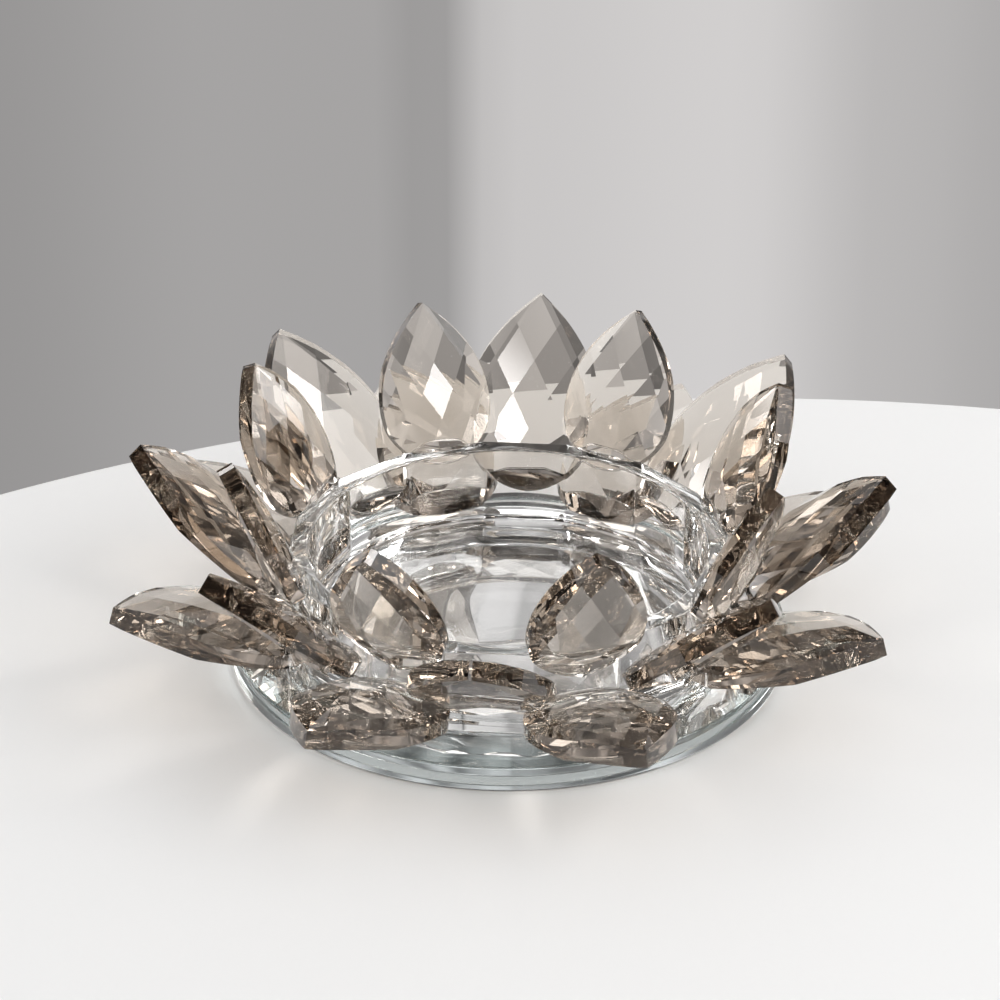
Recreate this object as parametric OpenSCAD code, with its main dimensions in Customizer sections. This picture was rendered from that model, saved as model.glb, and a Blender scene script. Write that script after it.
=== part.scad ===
// Lotus candle holder: twenty-four cut crystal petals in three tiers, bonded round a sixteen-sided glass
// bowl that stands on a round mirror. Millimetres, +Z up. The origin is the centre of the mirror's
// underside. Each petal's wide end is ground flat where it lies on one panel of the bowl, with a thin
// film of clear adhesive between them. Angles start at the front (-Y) and grow towards +X.

/* [Part] */

/* [Base disc] */
// Diameter of the round mirror disc under the bowl
disc_diameter = 125; // [90:0.5:180]
// Thickness of the disc, with its backing
disc_thickness = 6; // [4:0.5:12]
// Thickness of the silver and paint on the disc's underside
mirror_backing_thickness = 0.2; // [0.1:0.05:0.5]
// Bevel ground on both edges of the disc
disc_bevel = 0.6; // [0.2:0.1:1.5]

/* [Bowl] */
// Distance between two opposite panels on the outside of the bowl
bowl_across_panels = 97.3; // [80:0.1:130]
// Height of the bowl from its foot to its rim
bowl_height = 20; // [14:0.5:40]
// Wall thickness at the middle of a panel, at the rim
bowl_wall = 4.2; // [3:0.1:8]
// Thickness of the bowl's floor
bowl_floor = 3; // [2:0.1:8]
// Radius between the inside wall and the floor
bowl_fillet = 3; // [1:0.1:6]
// Bevel on the rim's two edges
bowl_bevel = 0.7; // [0.2:0.1:1.5]
// Slope of the inside wall from upright, in degrees
bowl_draft_angle = 2; // [0:0.5:6]

/* [Adhesive] */
// Thickness of every adhesive film
film = 0.3; // [0.2:0.05:0.6]
// How far the films stay back from the edges of the bowl
film_setback = 0.8; // [0.3:0.1:2]

/* [Large petals, middle and outer tiers] */
// Length from the wide end to the point
large_length = 47; // [38:0.5:65]
// Width at the widest place
large_width = 31.7; // [24:0.1:44]
// Thickness of the plain edge
large_edge = 3.2; // [2:0.1:5]
// How far the upper face rises above the plain edge
large_rise = 3; // [1.5:0.1:5]

/* [Small petals, inner tier] */
// Length from the wide end to the point
small_length = 37; // [30:0.5:50]
// Width at the widest place
small_width = 26; // [20:0.1:36]
// Thickness of the plain edge
small_edge = 2.9; // [2:0.1:5]
// How far the upper face rises above the plain edge
small_rise = 2.7; // [1.5:0.1:5]

/* [Petal cut] */
// Width of one diamond on the upper face, as a share of the petal's width
diamond_width_share = 0.28; // [0.18:0.01:0.45]
// Length of one diamond on the upper face, as a share of the petal's length
diamond_length_share = 0.36; // [0.2:0.01:0.5]
// Where the petal is widest, as a share of its length from the wide end
widest_share = 0.36; // [0.25:0.01:0.5]
// Roundness of the wide end's outline
round_factor = 2.15; // [1.8:0.05:3]
// Fullness of the pointed end's outline
point_factor = 2.1; // [1.4:0.05:3]
// Slope of the long middle facet on the underside, in degrees
table_slope_angle = 4.5; // [2:0.5:10]
// Slope of the facets along the underside's edge, in degrees
side_slope_angle = 16; // [12:1:40]

/* [Tiers] */
// Lean of the inner petals above level, in degrees
inner_lean_angle = 65.5; // [50:0.5:80]
// How far below the rim the middle of an inner petal's wide end is
inner_drop = 4.1; // [3:0.1:8]
// How deep an inner petal's wide end is ground away where it meets the bowl
inner_bite = 0.5; // [0.2:0.1:4]
// Lean of the middle petals above level, in degrees
middle_lean_angle = 40.5; // [28:0.5:55]
// How much higher the middle petals' plain edges start than the outer petals' end
middle_lift = 0.7; // [0.3:0.1:4]
// How deep a middle petal's wide end is ground away
middle_bite = 1.3; // [0.2:0.1:4]
// Lean of the outer petals above level, in degrees
outer_lean_angle = 14.5; // [6:0.5:30]
// How high above the disc the outer petals' plain edges start
outer_lift = 3.7; // [3:0.1:8]
// How deep an outer petal's wide end is ground away
outer_bite = 3; // [0.2:0.1:5]
// How far the hand-set angles are followed: 0 gives a perfectly even flower
hand_set_share = 1; // [0:0.1:1]

/* [Hidden] */
inner = 0;
middle = 1;
outer = 2;
petals_a_tier = 8;
panels = 2 * petals_a_tier;
full_turn = 360;
quarter_turn = full_turn / 4;
half_turn = full_turn / 2;
petal_step = full_turn / petals_a_tier;
panel_step = full_turn / panels;

// One value for each tier, in the order inner, middle, outer.
tier_length = [small_length, large_length, large_length];
tier_width = [small_width, large_width, large_width];
tier_edge = [small_edge, large_edge, large_edge];
tier_rise = [small_rise, large_rise, large_rise];
tier_lean = [inner_lean_angle, middle_lean_angle, outer_lean_angle];
tier_bite = [inner_bite, middle_bite, outer_bite];
tier_start = [panel_step, 0, panel_step];

// Hand-set angles in degrees: how each petal is turned on its panel, and how much more it leans.
tier_turn = [
    [-1.6, -1.4, 1.8, 0.6, 2.5, -3.4, -0.9, 1.9],
    [-1.5, 3.2, 0.5, 0.6, -1.7, 2.5, 2.8, -1],
    [1.2, 0.1, 2.4, 0.8, -1.1, 0.6, 1.8, -0.3]
];
tier_tip = [
    [1.4, -0.8, -1.2, -2.2, -1.3, -3.4, 0, -0.9],
    [-3.5, -0.5, -1, -2.2, 3, 3.4, 1.4, 0.1],
    [0, 0.7, -3.6, -0.8, 0.5, -0.4, 1.1, 1.1]
];

// The bowl: panels outside, round inside.
apothem = bowl_across_panels / 2;
bowl_corner = apothem / cos(panel_step / 2);
bowl_foot = disc_thickness + film;
bowl_rim = bowl_foot + bowl_height;
inside_floor = bowl_foot + bowl_floor;
rim_radius = apothem - bowl_wall;
fillet_height = inside_floor + bowl_fillet;
fillet_drop = bowl_rim - fillet_height + bowl_fillet * sin(bowl_draft_angle);
fillet_centre = rim_radius - fillet_drop * tan(bowl_draft_angle) - bowl_fillet * cos(bowl_draft_angle);

// The petals stop at this distance from the axis, where their adhesive starts.
seat = apothem + film;

// The middle of each tier's wide ends: the outer one rests low over the disc, the middle one just clears
// it, and the inner one hangs from the rim.
outer_height = disc_thickness + outer_lift + large_edge / 2;
middle_height = outer_height + large_edge + middle_lift;
tier_height = [bowl_rim - inner_drop, middle_height, outer_height];
reach = 2 * large_length;
crown_centre_share = 0.44;
table_start_share = 0.97;
outline_steps = 7;

// The directions that the facets round the underside face, in degrees from one side of the petal.
keel_headings = [5, 42, 138, 175, 222, 318];

glass = [0.86, 0.92, 0.91, 0.45];
silver = [0.80, 0.82, 0.83];
smoke = [0.52, 0.46, 0.40, 0.6];
clear_bond = [0.93, 0.95, 0.93, 0.5];

// Half width of a petal at a share of its length, as a share of its widest half width.
function fullness(t) = t < widest_share
    ? pow(1 - pow(1 - t / widest_share, round_factor), 1 / round_factor)
    : 1 - pow((t - widest_share) / (1 - widest_share), point_factor);

// Shares of the length where the outline has its corners, closer together round the wide end.
function corner_shares() = concat(
    [for (k = [0 : outline_steps - 1]) widest_share * (1 - cos(quarter_turn * k / outline_steps))],
    [for (k = [0 : outline_steps]) widest_share + (1 - widest_share) * k / outline_steps]
);

function outline(tier) = let (shares = corner_shares()) concat(
    [for (t = shares) [tier_width[tier] / 2 * fullness(t), tier_length[tier] * t]],
    [for (k = [2 * outline_steps - 1 : -1 : 1])
        [-tier_width[tier] / 2 * fullness(shares[k]), tier_length[tier] * shares[k]]]
);

// How far the outline reaches in one direction of its own plane.
function support(tier, heading) =
    max([for (p = outline(tier)) p[0] * cos(heading) + p[1] * sin(heading)]);

// Everything under a plane that slopes down towards the heading.
module below_plane(at, slope, heading)
    translate(at)
        rotate([0, slope, heading])
            translate([-reach, -reach, -2 * reach])
                cube(2 * reach);

// Upper face: slanting rows of flat diamonds, all cut to one low dome.
module crown(tier) {
    half_x = tier_width[tier] * diamond_width_share / 2;
    half_y = tier_length[tier] * diamond_length_share / 2;
    bend_x = tier_rise[tier] / pow(tier_width[tier] / 2, 2);
    bend_y = bend_x * pow(half_x / half_y, 2);
    intersection_for (cell = [
        for (row = [-3 : 3])
            for (column = [-4 : 4])
                if ((row + column) % 2 == 0 && abs(row) * 2 + abs(column) * 1.5 < 8)
                    [column * half_x, row * half_y]
    ])
        below_plane(
            [
                cell[0],
                tier_length[tier] * crown_centre_share + cell[1],
                tier_edge[tier] / 2 + tier_rise[tier] - bend_x * pow(cell[0], 2) - bend_y * pow(cell[1], 2)
            ],
            atan(2 * norm([bend_x * cell[0], bend_y * cell[1]])),
            atan2(bend_y * cell[1], bend_x * cell[0])
        );
}

// Underside: one long middle facet, with larger facets sloping from it to the plain edge.
module keel(tier)
    mirror([0, 0, 1])
        intersection() {
            below_plane(
                [0, tier_length[tier] * table_start_share, tier_edge[tier] / 2],
                table_slope_angle,
                quarter_turn
            );
            intersection_for (heading = keel_headings)
                below_plane(
                    [
                        support(tier, heading) * cos(heading),
                        support(tier, heading) * sin(heading),
                        tier_edge[tier] / 2
                    ],
                    side_slope_angle,
                    heading
                );
        }

// A petal as it is cut: wide end at the origin, point along +Y, upper face towards +Z.
module cut_petal(tier)
    intersection() {
        translate([0, 0, -reach / 2])
            linear_extrude(reach)
                polygon(outline(tier));
        crown(tier);
        keel(tier);
    }

// The same petal standing on its panel, before its wide end is ground flat. Outwards is +Y here.
module standing_petal(tier, k)
    translate([
        0,
        seat - tier_bite[tier] + tier_edge[tier] / 2 * sin(tier_lean[tier]),
        tier_height[tier]
    ])
        rotate([
            tier_lean[tier] + hand_set_share * tier_tip[tier][k],
            0,
            hand_set_share * tier_turn[tier][k]
        ])
            cut_petal(tier);

module at_panel(tier, k)
    rotate([0, 0, half_turn + tier_start[tier] + petal_step * k])
        children();

module petal(tier, k)
    at_panel(tier, k)
        intersection() {
            standing_petal(tier, k);
            translate([-reach, seat, -reach])
                cube(2 * reach);
        }

// The adhesive between one petal and its panel: the petal's own ground face, one film thick.
module petal_film(tier, k)
    at_panel(tier, k)
        intersection() {
            standing_petal(tier, k);
            translate([-reach, apothem, bowl_foot + film_setback])
                cube([2 * reach, film, bowl_height - bowl_bevel - 2 * film_setback]);
        }

module panel_outline(radius)
    polygon([for (k = [0 : panels - 1])
        [radius * cos(panel_step * (k + 1 / 2)), radius * sin(panel_step * (k + 1 / 2))]]);

// The round disc of plate glass that everything stands on, with its two edges bevelled.
module base_disc()
    color(glass)
        rotate_extrude()
            polygon([
                [0, mirror_backing_thickness],
                [disc_diameter / 2 - disc_bevel, mirror_backing_thickness],
                [disc_diameter / 2, mirror_backing_thickness + disc_bevel],
                [disc_diameter / 2, disc_thickness - disc_bevel],
                [disc_diameter / 2 - disc_bevel, disc_thickness],
                [0, disc_thickness]
            ]);

// The mirror's silver and the paint that protects it, on the underside inside the bevel.
module mirror_backing()
    color(silver)
        cylinder(h = mirror_backing_thickness, r = disc_diameter / 2 - disc_bevel);

// The pressed glass bowl: a thick wall with flat panels outside and a smooth round hollow inside.
module bowl()
    color(glass)
        difference() {
            union() {
                translate([0, 0, bowl_foot])
                    linear_extrude(bowl_height - bowl_bevel)
                        panel_outline(bowl_corner);
                translate([0, 0, bowl_rim - bowl_bevel])
                    linear_extrude(bowl_bevel, scale = (apothem - bowl_bevel) / apothem)
                        panel_outline(bowl_corner);
            }
            rotate_extrude()
                bowl_hollow();
        }

module bowl_hollow() {
    translate([fillet_centre, fillet_height])
        circle(bowl_fillet);
    polygon([
        [0, inside_floor],
        [fillet_centre, inside_floor],
        [fillet_centre, fillet_height],
        [
            fillet_centre + bowl_fillet * cos(bowl_draft_angle),
            fillet_height - bowl_fillet * sin(bowl_draft_angle)
        ],
        [rim_radius - bowl_bevel * tan(bowl_draft_angle), bowl_rim - bowl_bevel],
        [rim_radius + bowl_bevel, bowl_rim],
        [rim_radius + bowl_bevel, bowl_rim + bowl_bevel],
        [0, bowl_rim + bowl_bevel]
    ]);
}

// The adhesive film that bonds the bowl's foot to the disc.
module bowl_adhesive()
    color(clear_bond)
        translate([0, 0, disc_thickness])
            linear_extrude(film)
                panel_outline(bowl_corner - film_setback);

// The inner tier: eight small petals, leaning out steeply over the rim.
module petal_inner_1() color(smoke) petal(inner, 0);
module petal_inner_2() color(smoke) petal(inner, 1);
module petal_inner_3() color(smoke) petal(inner, 2);
module petal_inner_4() color(smoke) petal(inner, 3);
module petal_inner_5() color(smoke) petal(inner, 4);
module petal_inner_6() color(smoke) petal(inner, 5);
module petal_inner_7() color(smoke) petal(inner, 6);
module petal_inner_8() color(smoke) petal(inner, 7);

// The middle tier: eight large petals at a slant, one in front of each gap of the inner tier.
module petal_middle_1() color(smoke) petal(middle, 0);
module petal_middle_2() color(smoke) petal(middle, 1);
module petal_middle_3() color(smoke) petal(middle, 2);
module petal_middle_4() color(smoke) petal(middle, 3);
module petal_middle_5() color(smoke) petal(middle, 4);
module petal_middle_6() color(smoke) petal(middle, 5);
module petal_middle_7() color(smoke) petal(middle, 6);
module petal_middle_8() color(smoke) petal(middle, 7);

// The outer tier: eight large petals, nearly level, low down under the inner ones.
module petal_outer_1() color(smoke) petal(outer, 0);
module petal_outer_2() color(smoke) petal(outer, 1);
module petal_outer_3() color(smoke) petal(outer, 2);
module petal_outer_4() color(smoke) petal(outer, 3);
module petal_outer_5() color(smoke) petal(outer, 4);
module petal_outer_6() color(smoke) petal(outer, 5);
module petal_outer_7() color(smoke) petal(outer, 6);
module petal_outer_8() color(smoke) petal(outer, 7);

// The adhesive films of each tier, one behind every petal.
module tier_films(tier)
    color(clear_bond)
        for (k = [0 : petals_a_tier - 1])
            petal_film(tier, k);

module inner_petal_adhesive() tier_films(inner);
module middle_petal_adhesive() tier_films(middle);
module outer_petal_adhesive() tier_films(outer);

base_disc();
mirror_backing();
bowl();
bowl_adhesive();
petal_inner_1();
petal_inner_2();
petal_inner_3();
petal_inner_4();
petal_inner_5();
petal_inner_6();
petal_inner_7();
petal_inner_8();
petal_middle_1();
petal_middle_2();
petal_middle_3();
petal_middle_4();
petal_middle_5();
petal_middle_6();
petal_middle_7();
petal_middle_8();
petal_outer_1();
petal_outer_2();
petal_outer_3();
petal_outer_4();
petal_outer_5();
petal_outer_6();
petal_outer_7();
petal_outer_8();
inner_petal_adhesive();
middle_petal_adhesive();
outer_petal_adhesive();
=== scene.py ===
import math

import bmesh
import bpy
from mathutils import Matrix, Vector, noise


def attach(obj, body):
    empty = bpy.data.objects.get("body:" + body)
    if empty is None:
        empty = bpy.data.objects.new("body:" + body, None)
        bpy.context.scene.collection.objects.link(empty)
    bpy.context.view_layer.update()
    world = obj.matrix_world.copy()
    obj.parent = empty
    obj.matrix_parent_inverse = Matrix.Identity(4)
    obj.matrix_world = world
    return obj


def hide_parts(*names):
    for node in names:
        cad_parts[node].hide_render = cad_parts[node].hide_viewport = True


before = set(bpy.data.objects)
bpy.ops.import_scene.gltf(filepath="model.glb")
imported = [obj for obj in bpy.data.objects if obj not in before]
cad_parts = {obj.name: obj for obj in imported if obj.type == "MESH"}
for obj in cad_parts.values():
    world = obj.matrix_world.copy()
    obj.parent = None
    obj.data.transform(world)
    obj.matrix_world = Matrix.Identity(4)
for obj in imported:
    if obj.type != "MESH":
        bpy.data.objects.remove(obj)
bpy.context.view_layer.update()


# The mirror disc
# A round mirror under everything: plate glass, cut from a sheet and ground and polished on its rim, with
# silver and grey paint on its back. Its edge shows the glass's own pale grey-green, because there one looks
# a long way through it.

MM = 0.001
DISC_RADIUS = 62.5 * MM
DISC_TOP = 6 * MM
BACKING = 0.2 * MM
DISC_BEVEL = 0.6 * MM
# How far each piece of glass reaches into what it is bonded to, so that light passes as through one block.
WETTED = 0.02 * MM


def deselect_all():
    if bpy.context.mode != "OBJECT":
        bpy.ops.object.mode_set(mode="OBJECT")
    bpy.ops.object.select_all(action="DESELECT")


def edit(piece, kind="EDGE"):
    """Opens a piece in edit mode with all of it selected."""
    deselect_all()
    piece.select_set(True)
    bpy.context.view_layer.objects.active = piece
    bpy.ops.object.mode_set(mode="EDIT")
    bpy.ops.mesh.select_mode(type=kind)
    bpy.ops.mesh.select_all(action="SELECT")


def finish_piece(piece, name, material, slot, *nodes):
    deselect_all()
    piece.select_set(True)
    bpy.context.view_layer.objects.active = piece
    bpy.ops.object.transform_apply(location=True, rotation=True, scale=True)
    piece.name = piece.data.name = name
    piece.data.materials.clear()
    piece.data.materials.append(material)
    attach(piece, "root")
    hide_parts(*nodes)


def select_edges(piece, wanted):
    """In edit mode, selects only the edges that wanted(edge) picks."""
    mesh = bmesh.from_edit_mesh(piece.data)
    for edge in mesh.edges:
        edge.select_set(bool(wanted(edge)))
    mesh.select_flush_mode()
    bmesh.update_edit_mesh(piece.data)


def touch_group():
    """Faint traces of handling: uneven polish, small dust specks and slow waves in the surface."""
    group = bpy.data.node_groups.new("handling_traces", "ShaderNodeTree")
    face = group.interface
    face.new_socket("Coordinates", in_out="INPUT", socket_type="NodeSocketVector")
    face.new_socket("Patch scale", in_out="INPUT", socket_type="NodeSocketFloat").default_value = 60
    face.new_socket("Speck scale", in_out="INPUT", socket_type="NodeSocketFloat").default_value = 900
    face.new_socket("Wave scale", in_out="INPUT", socket_type="NodeSocketFloat").default_value = 70
    face.new_socket("Least", in_out="INPUT", socket_type="NodeSocketFloat").default_value = 0.0
    face.new_socket("Most", in_out="INPUT", socket_type="NodeSocketFloat").default_value = 0.05
    face.new_socket("Roughness", in_out="OUTPUT", socket_type="NodeSocketFloat")
    face.new_socket("Height", in_out="OUTPUT", socket_type="NodeSocketFloat")
    nodes, links = group.nodes, group.links
    inside = nodes.new("NodeGroupInput")
    outside = nodes.new("NodeGroupOutput")
    patch = nodes.new("ShaderNodeTexNoise")
    patch.inputs["Detail"].default_value = 3
    links.new(inside.outputs["Coordinates"], patch.inputs["Vector"])
    links.new(inside.outputs["Patch scale"], patch.inputs["Scale"])
    soft = nodes.new("ShaderNodeMapRange")
    soft.inputs["From Min"].default_value = 0.45
    soft.inputs["From Max"].default_value = 0.75
    links.new(patch.outputs["Fac"], soft.inputs["Value"])
    links.new(inside.outputs["Least"], soft.inputs["To Min"])
    links.new(inside.outputs["Most"], soft.inputs["To Max"])
    speck = nodes.new("ShaderNodeTexVoronoi")
    links.new(inside.outputs["Coordinates"], speck.inputs["Vector"])
    links.new(inside.outputs["Speck scale"], speck.inputs["Scale"])
    dot = nodes.new("ShaderNodeMapRange")
    dot.inputs["From Min"].default_value = 0.06
    dot.inputs["From Max"].default_value = 0.03
    dot.inputs["To Min"].default_value = 0.0
    dot.inputs["To Max"].default_value = 0.5
    links.new(speck.outputs["Distance"], dot.inputs["Value"])
    add = nodes.new("ShaderNodeMath")
    add.operation = "ADD"
    links.new(soft.outputs["Result"], add.inputs[0])
    links.new(dot.outputs["Result"], add.inputs[1])
    links.new(add.outputs["Value"], outside.inputs["Roughness"])
    wave = nodes.new("ShaderNodeTexNoise")
    wave.inputs["Detail"].default_value = 1
    links.new(inside.outputs["Coordinates"], wave.inputs["Vector"])
    links.new(inside.outputs["Wave scale"], wave.inputs["Scale"])
    links.new(wave.outputs["Fac"], outside.inputs["Height"])
    return group


handling = touch_group()


def glass_material(name, colour, ior, absorbed, density, most_rough, patch, wave_scale, wave_depth):
    """Clear glass: polished, tinted by the length of glass that light crosses, with traces of handling."""
    material = bpy.data.materials.new(name)
    material.use_nodes = True
    nodes, links = material.node_tree.nodes, material.node_tree.links
    shader = nodes["Principled BSDF"]
    output = nodes["Material Output"]
    shader.inputs["Base Color"].default_value = (*colour, 1)
    shader.inputs["Metallic"].default_value = 0
    shader.inputs["Transmission Weight"].default_value = 1
    shader.inputs["IOR"].default_value = ior
    place = nodes.new("ShaderNodeTexCoord")
    traces = nodes.new("ShaderNodeGroup")
    traces.node_tree = handling
    traces.inputs["Patch scale"].default_value = patch
    traces.inputs["Wave scale"].default_value = wave_scale
    traces.inputs["Least"].default_value = 0.0
    traces.inputs["Most"].default_value = most_rough
    links.new(place.outputs["Object"], traces.inputs["Coordinates"])
    links.new(traces.outputs["Roughness"], shader.inputs["Roughness"])
    bump = nodes.new("ShaderNodeBump")
    bump.inputs["Strength"].default_value = 1
    bump.inputs["Distance"].default_value = wave_depth
    links.new(traces.outputs["Height"], bump.inputs["Height"])
    links.new(bump.outputs["Normal"], shader.inputs["Normal"])
    inside = nodes.new("ShaderNodeVolumeAbsorption")
    inside.inputs["Color"].default_value = (*absorbed, 1)
    inside.inputs["Density"].default_value = density
    links.new(inside.outputs["Volume"], output.inputs["Volume"])
    return material


disc_glass = glass_material(
    "disc_glass", (1, 1, 1), 1.52, (0.60, 0.74, 0.80), 4, 0.02, 50, 12, 0.00001
)

deselect_all()
bpy.ops.mesh.primitive_cylinder_add(
    vertices=192, radius=DISC_RADIUS, depth=DISC_TOP - BACKING, location=(0, 0, (DISC_TOP + BACKING) / 2)
)
disc = bpy.context.active_object
edit(disc)
select_edges(disc, lambda e: abs(e.verts[0].co.z - e.verts[1].co.z) < 1e-6)
bpy.ops.mesh.bevel(offset=DISC_BEVEL, segments=4, profile=0.5, affect="EDGES")
deselect_all()
disc.select_set(True)
bpy.ops.object.shade_smooth_by_angle(angle=math.radians(35))
finish_piece(disc, "plate_glass_disc", disc_glass, "disc_glass", "base_disc")

silver_and_paint = bpy.data.materials.new("silver_and_paint")
silver_and_paint.use_nodes = True
nodes, links = silver_and_paint.node_tree.nodes, silver_and_paint.node_tree.links
shader = nodes["Principled BSDF"]
place = nodes.new("ShaderNodeTexCoord")
parts = nodes.new("ShaderNodeSeparateXYZ")
links.new(place.outputs["Object"], parts.inputs["Vector"])
silvered = nodes.new("ShaderNodeMapRange")
silvered.inputs["From Min"].default_value = 0.14 * MM
silvered.inputs["From Max"].default_value = 0.16 * MM
links.new(parts.outputs["Z"], silvered.inputs["Value"])
links.new(silvered.outputs["Result"], shader.inputs["Metallic"])
traces = nodes.new("ShaderNodeGroup")
traces.node_tree = handling
traces.inputs["Patch scale"].default_value = 40
traces.inputs["Least"].default_value = 0.0
traces.inputs["Most"].default_value = 0.01
links.new(place.outputs["Object"], traces.inputs["Coordinates"])
dull = nodes.new("ShaderNodeMix")
dull.inputs["A"].default_value = 0.6
links.new(silvered.outputs["Result"], dull.inputs["Factor"])
links.new(traces.outputs["Roughness"], dull.inputs["B"])
links.new(dull.outputs["Result"], shader.inputs["Roughness"])
tint = nodes.new("ShaderNodeMix")
tint.data_type = "RGBA"
tint.inputs["A"].default_value = (0.24, 0.25, 0.26, 1)
tint.inputs["B"].default_value = (0.93, 0.935, 0.93, 1)
links.new(silvered.outputs["Result"], tint.inputs["Factor"])
links.new(tint.outputs["Result"], shader.inputs["Base Color"])

deselect_all()
bpy.ops.mesh.primitive_cylinder_add(
    vertices=192,
    radius=DISC_RADIUS - DISC_BEVEL - 0.05 * MM,
    depth=BACKING + WETTED,
    location=(0, 0, (BACKING + WETTED) / 2),
)
backing = bpy.context.active_object
edit(backing)
select_edges(backing, lambda e: max(v.co.z for v in e.verts) < 0)
bpy.ops.mesh.bevel(offset=0.05 * MM, segments=2, affect="EDGES")
deselect_all()
backing.select_set(True)
bpy.ops.object.shade_smooth_by_angle(angle=math.radians(35))
finish_piece(backing, "mirror_silver_and_paint", silver_and_paint, "mirror_silver", "mirror_backing")


# The bowl
# A thick pressed-glass bowl: sixteen flat panels outside, one for each petal's seat, and a smooth round
# hollow inside. The plunger that pressed it leaves slow waves in its inner wall and a soft rim.

PANELS = 16
APOTHEM = 48.65 * MM
FILM = 0.3 * MM
BOWL_FOOT = DISC_TOP + FILM
BOWL_RIM = 26.3 * MM
INSIDE_FLOOR = 9.3 * MM
RIM_RADIUS = 44.45 * MM
FLOOR_RADIUS = 40.96 * MM
FILLET = 3 * MM
DRAFT = math.radians(2)
RIM_ROUND = 0.7 * MM

bowl_glass = glass_material(
    "bowl_glass", (1, 1, 1), 1.51, (0.86, 0.88, 0.87), 8, 0.02, 60, 30, 0.0003
)

deselect_all()
bpy.ops.mesh.primitive_cylinder_add(
    vertices=PANELS,
    radius=APOTHEM / math.cos(math.pi / PANELS),
    depth=BOWL_RIM - BOWL_FOOT,
    location=(0, 0, (BOWL_RIM + BOWL_FOOT) / 2),
    rotation=(0, 0, math.pi / PANELS),
)
bowl = bpy.context.active_object
bpy.ops.object.transform_apply(location=True, rotation=True, scale=True)
edit(bowl)
select_edges(bowl, lambda e: abs(e.verts[0].co.z - e.verts[1].co.z) > 1 * MM)
bpy.ops.mesh.bevel(offset=0.5 * MM, segments=3, profile=0.5, affect="EDGES", clamp_overlap=True)
select_edges(bowl, lambda e: abs(e.verts[0].co.z - e.verts[1].co.z) < 1e-6)
bpy.ops.mesh.bevel(offset=0.55 * MM, segments=3, profile=0.5, affect="EDGES", clamp_overlap=True)

# The plunger: the hollow's outline, spun once round the axis.
hollow_points = [(0, INSIDE_FLOOR), (FLOOR_RADIUS * 0.5, INSIDE_FLOOR), (FLOOR_RADIUS, INSIDE_FLOOR)]
for step in range(1, 9):
    turn = (math.pi / 2 - DRAFT) * step / 8
    hollow_points.append(
        (FLOOR_RADIUS + FILLET * math.sin(turn), INSIDE_FLOOR + FILLET * (1 - math.cos(turn)))
    )
for step in range(0, 6):
    turn = math.pi / 2 * step / 5
    hollow_points.append(
        (
            RIM_RADIUS + RIM_ROUND * (1 - math.cos(turn)),
            BOWL_RIM - RIM_ROUND * (1 - math.sin(turn)),
        )
    )
hollow_points.append((RIM_RADIUS + RIM_ROUND, BOWL_RIM + 2 * MM))
hollow_points.append((0, BOWL_RIM + 2 * MM))
deselect_all()
bpy.ops.mesh.primitive_plane_add(size=0.01)
plunger = bpy.context.active_object
edit(plunger, "VERT")
bpy.ops.mesh.delete(type="VERT")
mesh = bmesh.from_edit_mesh(plunger.data)
row = [mesh.verts.new((radius, 0, height)) for radius, height in hollow_points]
for first, second in zip(row, row[1:]):
    mesh.edges.new((first, second))
bmesh.update_edit_mesh(plunger.data)
bpy.ops.mesh.select_all(action="SELECT")
bpy.ops.mesh.spin(steps=160, angle=2 * math.pi, center=(0, 0, 0), axis=(0, 0, 1))
bpy.ops.mesh.select_all(action="SELECT")
bpy.ops.mesh.remove_doubles(threshold=0.00001)
bpy.ops.mesh.dissolve_degenerate(threshold=0.000001)
bpy.ops.mesh.normals_make_consistent(inside=False)
deselect_all()
bowl.select_set(True)
bpy.context.view_layer.objects.active = bowl
press = bowl.modifiers.new("press", "BOOLEAN")
press.operation = "DIFFERENCE"
press.solver = "EXACT"
press.object = plunger
bpy.ops.object.modifier_apply(modifier=press.name)
bpy.data.objects.remove(plunger)
bpy.ops.object.shade_smooth_by_angle(angle=math.radians(22))
finish_piece(bowl, "pressed_bowl", bowl_glass, "bowl_glass", "bowl")


# The petals
# Smoke-coloured crystal, cast and then cut on a wheel: the upper face has slanting rows of flat diamonds, the
# underside one long kite with larger ones sloping from it to a plain polished edge about 3 mm high. Each is
# ground flat at its wide end, where it was bonded to a panel of the bowl by hand, so no two sit quite alike.

SEAT = APOTHEM + FILM
WIDEST = 0.36
CROWN_MIDDLE = 0.44
KEEL_HEADINGS = (5, 42, 138, 175, 222, 318)
TIERS = {
    "inner": dict(
        length=37, width=26, edge=2.9, rise=2.7, lean=65.5, height=22.2, bite=0.5, start=22.5,
        turn=(-1.6, -1.4, 1.8, 0.6, 2.5, -3.4, -0.9, 1.9),
        tip=(1.4, -0.8, -1.2, -2.2, -1.3, -3.4, 0, -0.9),
    ),
    "middle": dict(
        length=47, width=31.7, edge=3.2, rise=3, lean=40.5, height=15.2, bite=1.3, start=0,
        turn=(-1.5, 3.2, 0.5, 0.6, -1.7, 2.5, 2.8, -1),
        tip=(-3.5, -0.5, -1, -2.2, 3, 3.4, 1.4, 0.1),
    ),
    "outer": dict(
        length=47, width=31.7, edge=3.2, rise=3, lean=14.5, height=11.3, bite=3, start=22.5,
        turn=(1.2, 0.1, 2.4, 0.8, -1.1, 0.6, 1.8, -0.3),
        tip=(0, 0.7, -3.6, -0.8, 0.5, -0.4, 1.1, 1.1),
    ),
}

smoke_crystal = glass_material(
    "smoke_crystal", (0.965, 0.93, 0.885), 1.54, (0.525, 0.46, 0.395), 48, 0.015, 90, 40, 0.00001
)


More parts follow.
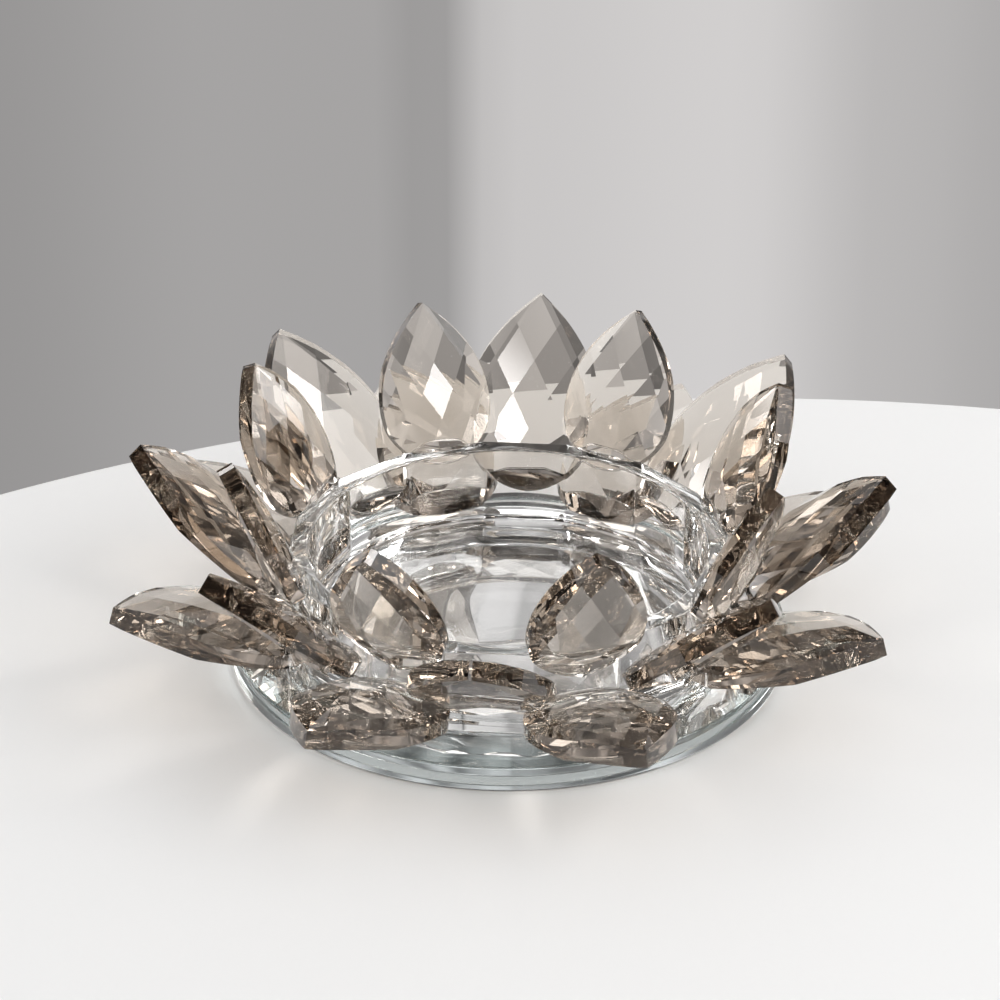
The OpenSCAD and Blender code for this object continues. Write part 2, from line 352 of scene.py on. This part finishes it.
def petal_outline(length, width):
    """The outline's right half from the wide end to the point, then the left half back."""
    shares = [WIDEST * (1 - math.cos(math.pi / 2 * k / 14)) for k in range(14)]
    shares += [WIDEST + (1 - WIDEST) * k / 18 for k in range(19)]
    half = []
    for t in shares:
        if t < WIDEST:
            full = (1 - (1 - t / WIDEST) ** 2.15) ** (1 / 2.15)
        else:
            full = 1 - ((t - WIDEST) / (1 - WIDEST)) ** 2.1
        half.append((width / 2 * full, length * t))
    return half + [(-x, y) for x, y in reversed(half[1:-1])]


def cut_facet(at, normal):
    """Cuts away what lies beyond one flat facet and closes the cut."""
    bpy.ops.mesh.select_all(action="SELECT")
    bpy.ops.mesh.bisect(
        plane_co=at, plane_no=normal, use_fill=True, clear_outer=True, threshold=0.0000002
    )


def cut_petal(name, length, width, edge, rise):
    outline = petal_outline(length * MM, width * MM)
    length, width, edge, rise = (value * MM for value in (length, width, edge, rise))
    deselect_all()
    bpy.ops.mesh.primitive_circle_add(vertices=len(outline), radius=width / 2, fill_type="NGON")
    petal = bpy.context.active_object
    petal.name = name
    edit(petal, "FACE")
    mesh = bmesh.from_edit_mesh(petal.data)
    mesh.verts.ensure_lookup_table()
    for vertex, (x, y) in zip(mesh.verts, outline):
        vertex.co = (x, y, -0.007)
    bmesh.update_edit_mesh(petal.data)
    bpy.ops.mesh.extrude_region_move(TRANSFORM_OT_translate={"value": (0, 0, 0.014)})
    bpy.ops.mesh.select_all(action="SELECT")
    bpy.ops.mesh.normals_make_consistent(inside=False)
    # Upper face: every diamond is one plane that touches a low dome at the diamond's middle.
    half_x, half_y = width * 0.28 / 2, length * 0.36 / 2
    bend_x = rise / (width / 2) ** 2
    bend_y = bend_x * (half_x / half_y) ** 2
    for row in range(-3, 4):
        for column in range(-4, 5):
            if (row + column) % 2 or abs(row) * 2 + abs(column) * 1.5 >= 8:
                continue
            x, y = column * half_x, row * half_y
            cut_facet(
                (x, length * CROWN_MIDDLE + y, edge / 2 + rise - bend_x * x * x - bend_y * y * y),
                Vector((2 * bend_x * x, 2 * bend_y * y, 1)).normalized(),
            )
    # Underside: the long middle facet, then those round it.
    slope = math.radians(4.5)
    cut_facet((0, length * 0.97, -edge / 2), (0, math.sin(slope), -math.cos(slope)))
    slope = math.radians(16)
    for heading in KEEL_HEADINGS:
        way = Vector((math.cos(math.radians(heading)), math.sin(math.radians(heading)), 0))
        reach = max(way.x * x + way.y * y for x, y in outline)
        cut_facet(
            (way.x * reach, way.y * reach, -edge / 2),
            (way.x * math.sin(slope), way.y * math.sin(slope), -math.cos(slope)),
        )
    # A hair-thin polished bevel where the plain edge meets the facets, and down the point.
    bpy.ops.mesh.select_mode(type="EDGE")
    select_edges(petal, lambda e: len(e.link_faces) == 2 and e.calc_face_angle() > math.radians(35))
    bpy.ops.mesh.bevel(offset=0.12 * MM, segments=2, profile=0.5, affect="EDGES", clamp_overlap=True)
    mesh = bmesh.from_edit_mesh(petal.data)
    for face in mesh.faces:
        face.smooth = abs(face.normal.z) < 0.2
    for line in mesh.edges:
        line.smooth = len(line.link_faces) == 2 and all(f.smooth for f in line.link_faces) and (
            line.calc_face_angle() < math.radians(25)
        )
    bmesh.update_edit_mesh(petal.data)
    bpy.ops.object.mode_set(mode="OBJECT")
    return petal


def face_outwards(piece):
    """In edit mode, turns a closed shape's faces outwards, even where recalculating reverses them."""
    bpy.ops.mesh.select_all(action="SELECT")
    bpy.ops.mesh.normals_make_consistent(inside=False)
    if bmesh.from_edit_mesh(piece.data).calc_volume(signed=True) < 0:
        bpy.ops.mesh.flip_normals()


def copy_of(piece):
    """A copy with its own mesh, alone selected."""
    deselect_all()
    piece.select_set(True)
    bpy.context.view_layer.objects.active = piece
    bpy.ops.object.duplicate(linked=False)
    return bpy.context.active_object


def bead_behind(petal, outward):
    """Makes the bead of adhesive round the petal's ground face, from the outline of that face."""
    ground = SEAT - FILM - WETTED
    mesh = bmesh.from_edit_mesh(petal.data)
    for face in mesh.faces:
        face.select_set(all(abs(v.co.dot(outward) - ground) < 0.001 * MM for v in face.verts))
    bmesh.update_edit_mesh(petal.data)
    bpy.ops.mesh.duplicate()
    bpy.ops.mesh.separate(type="SELECTED")
    bpy.ops.object.mode_set(mode="OBJECT")
    bead = next(o for o in bpy.context.selected_objects if o is not petal)
    edit(bead, "FACE")
    bpy.ops.mesh.inset(thickness=0.35 * MM, use_outset=False)
    bpy.ops.mesh.delete(type="FACE")
    mesh = bmesh.from_edit_mesh(bead.data)
    middle = sum((v.co for v in mesh.verts), Vector()) / len(mesh.verts)
    for vertex in mesh.verts:
        away = (vertex.co - middle).normalized()
        vertex.co += away * (0.3 + 0.15 * noise.noise(vertex.co * 400)) * MM
    bmesh.update_edit_mesh(bead.data)
    bpy.ops.mesh.select_all(action="SELECT")
    bpy.ops.mesh.extrude_region_move(TRANSFORM_OT_translate={"value": outward * (FILM + WETTED)})
    face_outwards(bead)
    bpy.ops.object.mode_set(mode="OBJECT")
    return bead


small_petal = cut_petal("small_petal", 37, 26, 2.9, 2.7)
large_petal = cut_petal("large_petal", 47, 31.7, 3.2, 3)

tier_beads = {"inner": [], "middle": [], "outer": []}
for tier, made in TIERS.items():
    for k in range(8):
        petal = copy_of(small_petal if tier == "inner" else large_petal)
        lean = math.radians(made["lean"])
        heading = math.radians(180 + made["start"] + 45 * k)
        petal.matrix_world = (
            Matrix.Rotation(heading, 4, "Z")
            @ Matrix.Translation(
                (0, SEAT - made["bite"] * MM + made["edge"] * MM / 2 * math.sin(lean), made["height"] * MM)
            )
            @ Matrix.Rotation(math.radians(made["turn"][k]), 4, "Z")
            @ Matrix.Rotation(lean + math.radians(made["tip"][k]), 4, "X")
        )
        bpy.ops.object.transform_apply(location=True, rotation=True, scale=True)
        outward = Vector((-math.sin(heading), math.cos(heading), 0))
        edit(petal, "FACE")
        bpy.ops.mesh.bisect(
            plane_co=outward * (APOTHEM - WETTED), plane_no=-outward, use_fill=True, clear_outer=True,
            threshold=0.0000002,
        )
        tier_beads[tier].append(bead_behind(petal, outward))
        finish_piece(
            petal, f"{tier}_petal_{k + 1}", smoke_crystal, "smoke_crystal", f"petal_{tier}_{k + 1}"
        )
bpy.data.objects.remove(small_petal)
bpy.data.objects.remove(large_petal)


# The adhesive
# Clear adhesive, cured under a lamp: it fills the joint under the bowl and behind every petal, where it
# can't be told from the glass, and shows only as the thin uneven bead that was pressed out round each joint.

clear_adhesive = glass_material(
    "clear_adhesive", (1, 1, 1), 1.47, (0.9, 0.92, 0.88), 10, 0.03, 220, 300, 0.00005
)

deselect_all()
bpy.ops.mesh.primitive_circle_add(vertices=192, radius=48.4 * MM, fill_type="NGON", location=(0, 0, 0))
bead = bpy.context.active_object
edit(bead, "FACE")
bpy.ops.mesh.inset(thickness=1.6 * MM)
bpy.ops.mesh.delete(type="FACE")
mesh = bmesh.from_edit_mesh(bead.data)
for vertex in mesh.verts:
    around = math.atan2(vertex.co.y, vertex.co.x)
    off_corner = (around / (2 * math.pi / PANELS) + 0.5) % 1 - 0.5
    panel = APOTHEM / math.cos(off_corner * 2 * math.pi / PANELS)
    ripple = 0.5 + noise.noise(Vector((math.cos(around), math.sin(around), 0)) * 9)
    out = 0.35 * MM if vertex.co.xy.length > 47.5 * MM else -1.8 * MM
    vertex.co.xy = vertex.co.xy.normalized() * (panel + out * ripple)
    vertex.co.z = DISC_TOP - WETTED
bmesh.update_edit_mesh(bead.data)
bpy.ops.mesh.select_all(action="SELECT")
bpy.ops.mesh.extrude_region_move(TRANSFORM_OT_translate={"value": (0, 0, FILM + 2 * WETTED)})
face_outwards(bead)
bpy.ops.object.mode_set(mode="OBJECT")
finish_piece(bead, "bead_under_bowl", clear_adhesive, "clear_adhesive", "bowl_adhesive")

for tier, beads in tier_beads.items():
    deselect_all()
    for bead in beads:
        bead.select_set(True)
    bpy.context.view_layer.objects.active = beads[0]
    bpy.ops.object.join()
    finish_piece(
        beads[0], f"{tier}_petal_beads", clear_adhesive, "clear_adhesive", f"{tier}_petal_adhesive"
    )


# Table, light and camera
# A plain white round table top that ends just behind the object, in front of a plain pale grey wall.

TABLE_RADIUS = 0.347
deselect_all()
bpy.ops.mesh.primitive_cylinder_add(
    vertices=256, radius=TABLE_RADIUS, depth=0.02, location=(0.077, -0.2165, -0.0102)
)
table = bpy.context.active_object
table.name = "table_top"
edit(table)
select_edges(table, lambda e: abs(e.verts[0].co.z - e.verts[1].co.z) < 1e-6)
bpy.ops.mesh.bevel(offset=0.003, segments=4, affect="EDGES")
bpy.ops.object.mode_set(mode="OBJECT")
bpy.ops.object.shade_smooth_by_angle(angle=math.radians(35))
white = bpy.data.materials.new("table_white")
white.use_nodes = True
paint = white.node_tree.nodes["Principled BSDF"]
paint.inputs["Base Color"].default_value = (0.86, 0.855, 0.85, 1)
paint.inputs["Roughness"].default_value = 0.55
table.data.materials.append(white)

world = bpy.data.worlds.new("studio")
bpy.context.scene.world = world
world.use_nodes = True
nodes, links = world.node_tree.nodes, world.node_tree.links
background = nodes["Background"]
direction = nodes.new("ShaderNodeTexCoord")
parts = nodes.new("ShaderNodeSeparateXYZ")
links.new(direction.outputs["Generated"], parts.inputs["Vector"])
heading = nodes.new("ShaderNodeMath")
heading.operation = "ARCTAN2"
links.new(parts.outputs["X"], heading.inputs[0])
links.new(parts.outputs["Y"], heading.inputs[1])
raised = nodes.new("ShaderNodeMath")
raised.operation = "ARCSINE"
links.new(parts.outputs["Z"], raised.inputs[0])


def band(value, middle, half, soft):
    """1 within half of the middle and 0 beyond half plus soft, all in degrees."""
    off = nodes.new("ShaderNodeMath")
    off.operation = "SUBTRACT"
    links.new(value, off.inputs[0])
    off.inputs[1].default_value = math.radians(middle)
    away = nodes.new("ShaderNodeMath")
    away.operation = "ABSOLUTE"
    links.new(off.outputs["Value"], away.inputs[0])
    fade = nodes.new("ShaderNodeMapRange")
    fade.interpolation_type = "SMOOTHSTEP"
    fade.inputs["From Min"].default_value = math.radians(half)
    fade.inputs["From Max"].default_value = math.radians(half + soft)
    fade.inputs["To Min"].default_value = 1
    fade.inputs["To Max"].default_value = 0
    links.new(away.outputs["Value"], fade.inputs["Value"])
    return fade.outputs["Result"]


def wall_patch(under, colour, middle, half, soft, height, half_height, soft_height):
    """Paints one soft-edged patch of the studio's walls over what is under it."""
    both = nodes.new("ShaderNodeMath")
    both.operation = "MULTIPLY"
    links.new(band(heading.outputs["Value"], middle, half, soft), both.inputs[0])
    links.new(band(raised.outputs["Value"], height, half_height, soft_height), both.inputs[1])
    mix = nodes.new("ShaderNodeMix")
    mix.data_type = "RGBA"
    links.new(both.outputs["Value"], mix.inputs["Factor"])
    if isinstance(under, tuple):
        mix.inputs["A"].default_value = (*under, 1)
    else:
        links.new(under, mix.inputs["A"])
    if isinstance(colour, tuple):
        mix.inputs["B"].default_value = (*colour, 1)
    else:
        links.new(colour, mix.inputs["B"])
    return mix.outputs["Result"]


# The wall behind, in soft upright folds of light and dark grey, by heading in degrees. Only the part
# between -11 and 2 is in the picture; the glass shows the rest.
FOLDS = (
    (-60, 0.08), (-42, 0.16), (-30, 0.75), (-21, 0.18), (-15, 0.16), (-12, 0.31), (-8.5, 0.38),
    (-6.6, 0.38), (-5.8, 0.32), (-4.9, 0.58), (-1.8, 0.64), (0.4, 0.48), (2, 0.42), (5, 0.18),
    (9, 0.66), (14, 0.20), (22, 0.60), (34, 0.18), (60, 0.08),
)
turned = nodes.new("ShaderNodeMapRange")
turned.inputs["From Min"].default_value = math.radians(-60)
turned.inputs["From Max"].default_value = math.radians(60)
links.new(heading.outputs["Value"], turned.inputs["Value"])
ramp = nodes.new("ShaderNodeValToRGB")
links.new(turned.outputs["Result"], ramp.inputs["Fac"])
ramp.color_ramp.interpolation = "EASE"
for step, (degrees, grey) in enumerate(FOLDS):
    place = (degrees + 60) / 120
    if step < 2:
        stop = ramp.color_ramp.elements[step]
        stop.position = place
    else:
        stop = ramp.color_ramp.elements.new(place)
    stop.color = (grey, grey * 0.975, grey * 0.97, 1)
# Above the picture's edge the wall is lighter, as the mirror shows it.
upper = nodes.new("ShaderNodeMapRange")
upper.inputs["From Min"].default_value = math.radians(-17)
upper.inputs["From Max"].default_value = math.radians(-5)
upper.inputs["To Min"].default_value = 1.0
upper.inputs["To Max"].default_value = 1.3
links.new(raised.outputs["Value"], upper.inputs["Value"])
wall = nodes.new("ShaderNodeVectorMath")
wall.operation = "SCALE"
links.new(ramp.outputs["Color"], wall.inputs[0])
links.new(upper.outputs["Result"], wall.inputs["Scale"])
plain = wall_patch((0.56, 0.55, 0.55), wall.outputs["Vector"], 3, 45, 30, -10, 32, 12)
walls = wall_patch((0.03, 0.028, 0.026), wall.outputs["Vector"], 3, 62, 22, -30, 85, 16)
walls = wall_patch(walls, (0.42, 0.41, 0.41), 0, 180, 1, 90, 11, 8)
# Dark furniture and bright panes of the room round about, which only the glass shows: heading, height,
# half width and half height in degrees, then how bright.
ROOM = (
    (165, 5, 30, 30, 0.03), (-13, -9, 3, 5, 0.07), (11.5, -8, 3, 5, 0.08), (-24, 8, 4, 12, 0.08),
    (27, 6, 4, 12, 0.10), (137, 22, 7, 6, 14), (-140, 60, 9, 6, 14), (89, 50, 8, 8, 14),
    (-100, 40, 9, 8, 12), (60, 14, 6, 6, 8), (-62, 14, 6, 6, 7), (2, 57, 18, 9, 2.3),
)
for middle, height, half_wide, half_high, bright in ROOM:
    walls = wall_patch(
        walls, (bright, bright * 0.98, bright * 0.97), middle, half_wide, 1, height, half_high, 1
    )
# The glass sees those walls, and the table top gets one plain soft light from all round. The camera sees
# the wall behind, which goes on pale and plain round the rest of the room.
path = nodes.new("ShaderNodeLightPath")
either = nodes.new("ShaderNodeMath")
either.operation = "MAXIMUM"
links.new(path.outputs["Is Glossy Ray"], either.inputs[0])
links.new(path.outputs["Is Transmission Ray"], either.inputs[1])
straight = nodes.new("ShaderNodeMath")
straight.operation = "LESS_THAN"
links.new(path.outputs["Diffuse Depth"], straight.inputs[0])
straight.inputs[1].default_value = 0.5
both = nodes.new("ShaderNodeMath")
both.operation = "MULTIPLY"
links.new(either.outputs["Value"], both.inputs[0])
links.new(straight.outputs["Value"], both.inputs[1])
light = nodes.new("ShaderNodeMix")
light.data_type = "RGBA"
links.new(both.outputs["Value"], light.inputs["Factor"])
light.inputs["A"].default_value = (0.80, 0.80, 0.80, 1)
links.new(walls, light.inputs["B"])
shown = nodes.new("ShaderNodeMix")
shown.data_type = "RGBA"
links.new(path.outputs["Is Camera Ray"], shown.inputs["Factor"])
links.new(light.outputs["Result"], shown.inputs["A"])
links.new(plain, shown.inputs["B"])
links.new(shown.outputs["Result"], background.inputs["Color"])
background.inputs["Strength"].default_value = 1


def softbox(name, heading, raised, away, wide, high, radiance):
    """A soft lamp that faces the object. Heading 0 is behind it and 90 on its right."""
    heading, raised = math.radians(heading), math.radians(raised)
    way = Vector(
        (math.sin(heading) * math.cos(raised), math.cos(heading) * math.cos(raised), math.sin(raised))
    )
    deselect_all()
    bpy.ops.object.light_add(type="AREA", location=way * away + Vector((0, 0, 0.03)))
    lamp = bpy.context.active_object
    lamp.name = name
    lamp.rotation_euler = way.to_track_quat("Z", "Y").to_euler()
    lamp.data.shape = "RECTANGLE"
    lamp.data.size = wide
    lamp.data.size_y = high
    lamp.data.energy = radiance * math.pi * wide * high
    return lamp


softbox("window_right", 92, 36, 2.0, 1.7, 1.2, 2.9)
softbox("window_left", -98, 30, 2.0, 1.0, 0.8, 1.2)

DISTANCE = 1.0581
HEADING = math.radians(4.8)
RAISED = math.radians(29.32)
target = Vector((0, 0, 0.02))
towards = Vector(
    (math.sin(HEADING) * math.cos(RAISED), -math.cos(HEADING) * math.cos(RAISED), math.sin(RAISED))
)
deselect_all()
bpy.ops.object.camera_add(location=target + towards * DISTANCE)
camera = bpy.context.active_object
right = Vector((math.cos(HEADING), math.sin(HEADING), 0))
up = towards.cross(right)
aim = target + right * (-8.32 / 4719.9 * DISTANCE) + up * (68.09 / 4719.9 * DISTANCE)
camera.rotation_euler = (camera.location - aim).to_track_quat("Z", "Y").to_euler()
camera.data.lens = 4719.9 * 36 / 1000
camera.data.sensor_width = 36
camera.data.clip_start = 0.05
camera.data.clip_end = 30
bpy.context.scene.camera = camera

bpy.context.scene.view_settings.view_transform = "Standard"
bpy.context.scene.cycles.blur_glossy = 0
bpy.context.scene.cycles.max_bounces = 96
bpy.context.scene.cycles.transmission_bounces = 96
bpy.context.scene.cycles.glossy_bounces = 64
bpy.context.scene.cycles.transparent_max_bounces = 96
